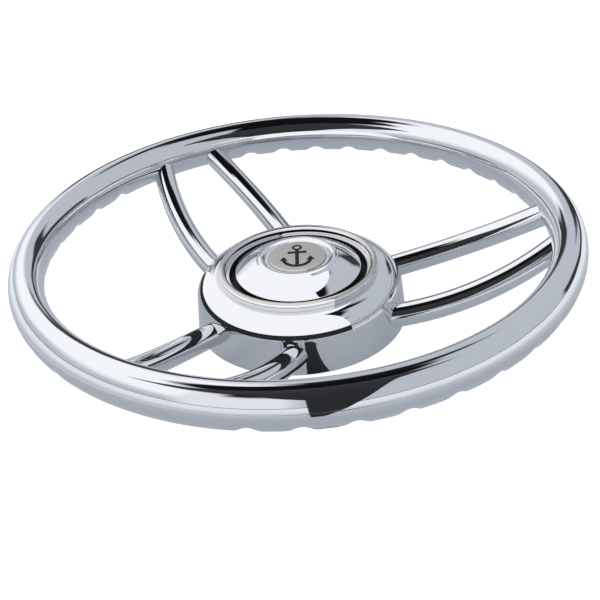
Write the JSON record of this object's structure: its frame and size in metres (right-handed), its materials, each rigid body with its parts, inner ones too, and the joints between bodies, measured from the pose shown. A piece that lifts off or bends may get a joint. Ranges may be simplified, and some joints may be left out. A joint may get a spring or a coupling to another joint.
{
  "type": "ship steering wheel",
  "caption": "Dished stainless boat steering wheel with a finger-grip rim, paired curved tube spokes, a bell hub and a domed push-in centre cap.",
  "frame": {"origin": "centre of the hub's back face, where the wheel meets the helm", "axes": "+Z along the wheel's axis towards the helmsman, +X along the middle of spoke pair 1, +Y up on the emblem"},
  "size_m": [0.35, 0.35, 0.0691],
  "materials": {
    "polished_stainless": "mirror polished stainless steel",
    "machined_stainless": "turned stainless steel",
    "satin_disc": "satin stainless steel",
    "black_enamel": "gloss black enamel",
    "black_rubber": "matt nitrile rubber"
  },
  "bodies": {
    "wheel": {"rim_upper_shell": "polished_stainless", "rim_grip_shell": "polished_stainless", "spoke_1_left": "polished_stainless", "spoke_1_right": "polished_stainless", "spoke_2_left": "polished_stainless", "spoke_2_right": "polished_stainless", "spoke_3_left": "polished_stainless", "spoke_3_right": "polished_stainless", "hub_bell": "polished_stainless", "bezel_ring": "polished_stainless", "cap_socket": "machined_stainless", "bezel_screws": "machined_stainless", "hub_boss": "machined_stainless", "hub_plate": "machined_stainless", "plate_screws": "machined_stainless", "spoke_ring": "machined_stainless"},
    "seal": {"cap_o_ring": "black_rubber"},
    "cap": {"centre_cap": "polished_stainless", "emblem_disc": "satin_disc", "emblem_anchor": "black_enamel"},
    "washer": {"nut_washer": "machined_stainless"},
    "nut": {"shaft_nut": "machined_stainless"}
  },
  "joints": [
    {"name": "cap_pull", "type": "slide", "parent": "wheel", "child": "seal", "axis": [0, 0, 1], "range_m": [0, 0.04]},
    {"name": "cap_turn", "type": "hinge", "parent": "seal", "child": "cap", "pos_m": [0, 0, 0.033], "axis": [0, 0, 1], "continuous": true},
    {"name": "nut_rise", "type": "slide", "parent": "wheel", "child": "washer", "axis": [0, 0, 1], "range_m": [0, 0.00794]},
    {"name": "nut_turn", "type": "hinge", "parent": "washer", "child": "nut", "pos_m": [0, 0, 0.022], "axis": [0, 0, 1], "range_deg": [0, 2250]}
  ],
  "couplings": [
    {"joint": "nut_turn", "follows": "nut_rise", "rad_per_m": 4945.8}
  ]
}
